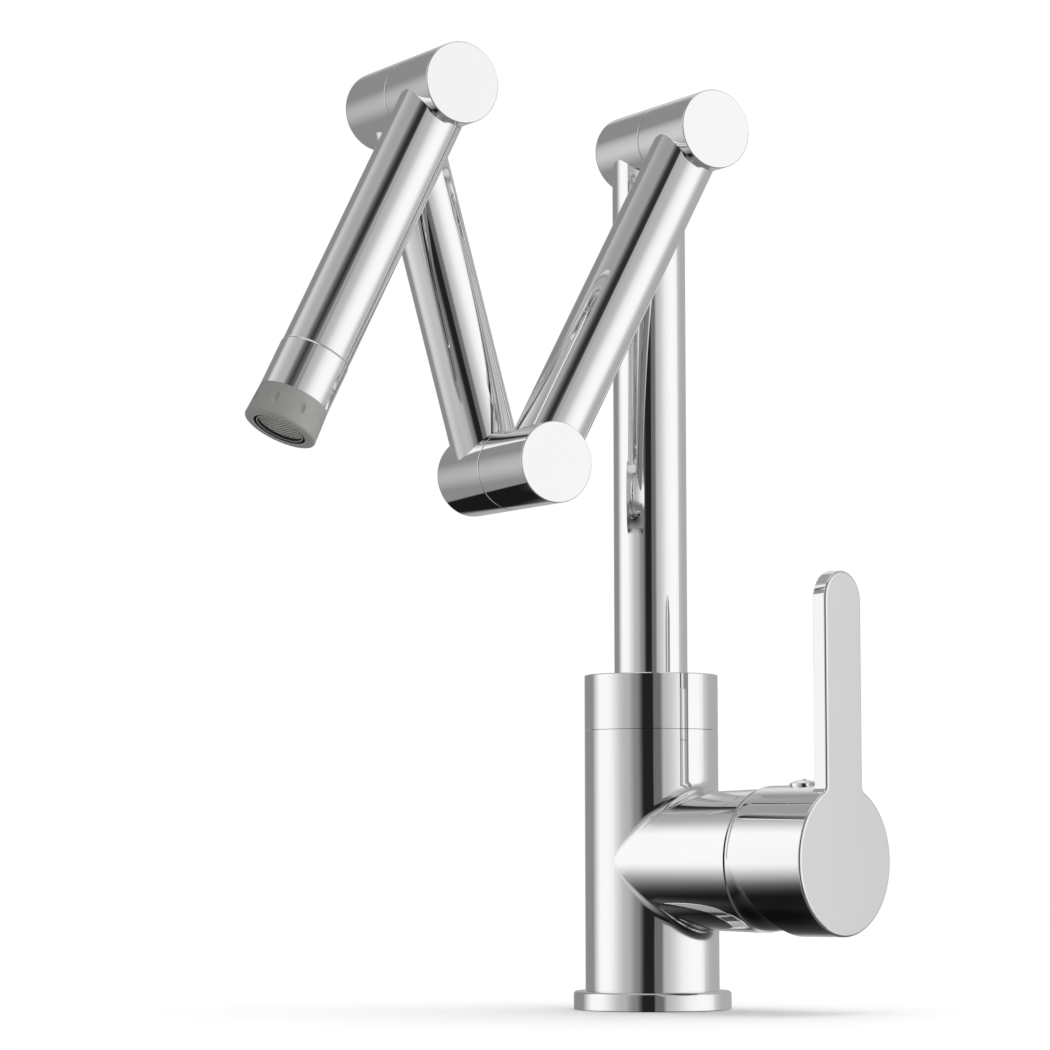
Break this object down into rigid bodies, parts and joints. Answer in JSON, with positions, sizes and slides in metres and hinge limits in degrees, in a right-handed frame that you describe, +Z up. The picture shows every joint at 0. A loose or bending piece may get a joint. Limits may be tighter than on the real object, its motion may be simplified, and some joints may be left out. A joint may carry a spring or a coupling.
{
  "type": "deck-mount pot filler tap",
  "caption": "Deck-mounted single-lever pot filler: upright valve body with side lever, swivelling riser and a folding jointed spout arm ending in an aerator.",
  "frame": {"origin": "centre of the base flange's underside, on the deck, under the riser's axis", "axes": "+Z up along the riser; +X along the valve's axis towards the lever; -Z out of the flange's underside into the deck"},
  "size_m": [0.1442, 0.2192, 0.352],
  "materials": {
    "chromed_brass": "polished chrome plate",
    "brass": "turned, unplated",
    "stainless_steel": "turned and tumbled",
    "black_rubber": "moulded, matt",
    "ceramic": "lapped",
    "white_acetal": "moulded, satin",
    "blue_plastic": "moulded, satin",
    "grey_plastic": "moulded, matt warm grey"
  },
  "bodies": {
    "base": {"base_flange": "chromed_brass", "base_gasket": "black_rubber", "valve_body": "chromed_brass", "cartridge_seal": "black_rubber", "fixed_disc": "ceramic", "cartridge_housing": "white_acetal", "cartridge_nut": "brass", "trim_dome": "chromed_brass", "glide_ring": "white_acetal", "spout_grub_screw": "stainless_steel"},
    "rotor": {"cartridge_rotor": "blue_plastic", "stem_pin": "stainless_steel"},
    "disc_slider": {"moving_disc": "ceramic", "disc_carrier": "blue_plastic"},
    "handle": {"cartridge_stem": "stainless_steel", "lever_handle": "chromed_brass", "handle_grub_screw": "stainless_steel", "index_button": "chromed_brass"},
    "spout_base": {"swivel_collar": "chromed_brass", "spout_spigot": "brass", "spigot_o_rings": "black_rubber", "riser_tube": "chromed_brass", "hub_a_back": "chromed_brass", "hub_a_back_cap": "chromed_brass", "hub_a_pivot": "brass", "hub_a_o_rings": "black_rubber", "hub_a_washer": "white_acetal", "hub_a_clip": "stainless_steel"},
    "arm_1": {"hub_a_front": "chromed_brass", "hub_a_front_cap": "chromed_brass", "arm_1_tube": "chromed_brass", "hub_b_front": "chromed_brass", "hub_b_front_cap": "chromed_brass"},
    "arm_2": {"hub_b_back": "chromed_brass", "hub_b_back_cap": "chromed_brass", "hub_b_pivot": "brass", "hub_b_o_rings": "black_rubber", "hub_b_washer": "white_acetal", "hub_b_clip": "stainless_steel", "arm_2_tube": "chromed_brass", "hub_c_back": "chromed_brass", "hub_c_back_cap": "chromed_brass", "hub_c_pivot": "brass", "hub_c_o_rings": "black_rubber", "hub_c_washer": "white_acetal", "hub_c_clip": "stainless_steel"},
    "arm_3": {"hub_c_front": "chromed_brass", "hub_c_front_cap": "chromed_brass", "spout_tube": "chromed_brass", "outlet_collar": "chromed_brass", "aerator_washer": "black_rubber", "aerator_housing": "grey_plastic", "flow_straightener": "grey_plastic", "spray_screen": "grey_plastic"}
  },
  "joints": [
    {"name": "spout_swivel", "type": "hinge", "parent": "base", "child": "spout_base", "pos_m": [0, 0, 0], "axis": [0, 0, 1], "continuous": true},
    {"name": "hub_a_hinge", "type": "hinge", "parent": "spout_base", "child": "arm_1", "pos_m": [0, 0, 0.3313], "axis": [-0.9532, 0.3024, 0], "range_deg": [-14.5, 121.5]},
    {"name": "hub_b_hinge", "type": "hinge", "parent": "arm_1", "child": "arm_2", "pos_m": [-0.02141, -0.0675, 0.20088], "axis": [0.9532, -0.3024, 0], "range_deg": [-29.7, 115.3]},
    {"name": "hub_c_hinge", "type": "hinge", "parent": "arm_2", "child": "arm_3", "pos_m": [-0.03336, -0.10518, 0.33696], "axis": [-0.9532, 0.3024, 0], "range_deg": [-29.2, 136.8]},
    {"name": "handle_temperature", "type": "hinge", "parent": "base", "child": "rotor", "pos_m": [0.057, 0, 0.056], "axis": [1, 0, 0], "range_deg": [-50, 50]},
    {"name": "handle_lift", "type": "hinge", "parent": "rotor", "child": "handle", "pos_m": [0.057, 0, 0.056], "axis": [0, 1, 0], "range_deg": [0, 25]},
    {"name": "disc_slide", "type": "slide", "parent": "rotor", "child": "disc_slider", "axis": [0, 0, 1], "range_m": [0, 0.0062]}
  ],
  "couplings": [
    {"joint": "disc_slide", "follows": "handle_lift", "m_per_rad": 0.01405}
  ]
}
